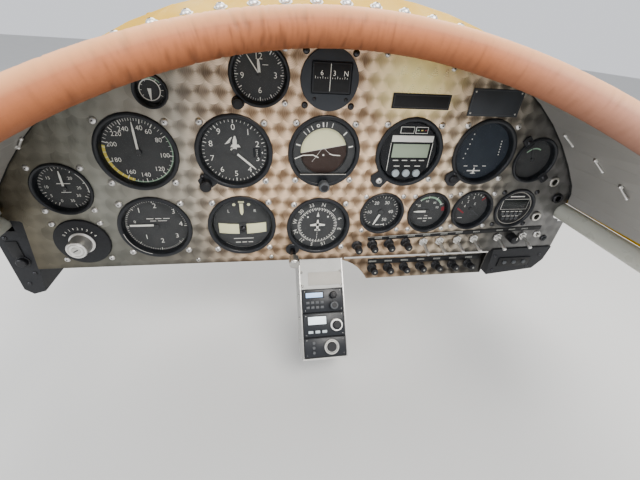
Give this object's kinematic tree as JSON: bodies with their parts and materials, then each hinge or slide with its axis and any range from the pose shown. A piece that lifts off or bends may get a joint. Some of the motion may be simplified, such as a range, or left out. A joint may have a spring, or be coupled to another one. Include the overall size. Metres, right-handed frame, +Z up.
{
  "type": "aircraft instrument panel with scuttle and padded coaming",
  "caption": "Arched cockpit front: swirl-finished instrument panel with dials, switches and radios under a deck skin with a padded leather coaming.",
  "frame": {"origin": "top centre of the front former's flange face, by which the piece is bolted on", "axes": "+X to the pilot's right, +Y forward out of the front flange, +Z up"},
  "size_m": [0.712, 0.3668, 0.4177],
  "materials": {
    "panel_metal": "engine-turned swirls, satin",
    "deck_paint": "gloss yellow",
    "lining_paint": "satin grey",
    "frame_paint": "satin grey",
    "tube_paint": "off-white gloss",
    "leather": "tan, smooth with fine wrinkles",
    "seal_rubber": "dull",
    "instrument_black": "satin black",
    "control_plastic": "satin black",
    "label_plastic": "dull black",
    "bright_steel": "bright",
    "dial_face": "dull black",
    "dial_marks": "off-white",
    "dial_glass": "clear"
  },
  "bodies": {
    "root": {"panel_plate": "panel_metal", "lower_switch_plate": "panel_metal", "panel_frame": "frame_paint", "front_former": "frame_paint", "deck_skin": "deck_paint", "left_side_lining": "lining_paint", "right_side_lining": "lining_paint", "coaming_roll": "leather", "panel_edge_seal": "seal_rubber", "left_frame_tube": "tube_paint", "right_frame_tube": "tube_paint", "airspeed_indicator": "instrument_black", "altimeter": "instrument_black", "attitude_indicator": "instrument_black", "round_display_unit": "instrument_black", "course_indicator": "instrument_black", "vertical_speed_indicator": "instrument_black", "turn_and_slip_indicator": "instrument_black", "heading_indicator": "instrument_black", "compass": "instrument_black", "clock": "instrument_black", "engine_speed_gauge": "instrument_black", "ignition_switch": "instrument_black", "suction_gauge": "instrument_black", "fuel_gauge": "instrument_black", "oil_gauge": "instrument_black", "cylinder_gauge": "instrument_black", "engine_monitor": "instrument_black", "volt_gauge": "instrument_black", "upper_breaker_row": "control_plastic", "toggle_row": "bright_steel", "lower_breaker_row": "control_plastic", "upper_label_strip": "label_plastic", "lower_label_strip": "label_plastic", "name_plate": "label_plastic", "placard": "label_plastic", "dimmer_knob": "control_plastic", "push_button": "bright_steel", "panel_lamp": "control_plastic", "phone_jack": "bright_steel", "microphone_jack": "bright_steel", "spare_jack": "bright_steel", "side_box": "control_plastic", "left_side_box": "control_plastic", "console_frame": "frame_paint", "upper_radio": "control_plastic", "lower_radio": "control_plastic", "console_unit": "control_plastic"}
  },
  "joints": []
}
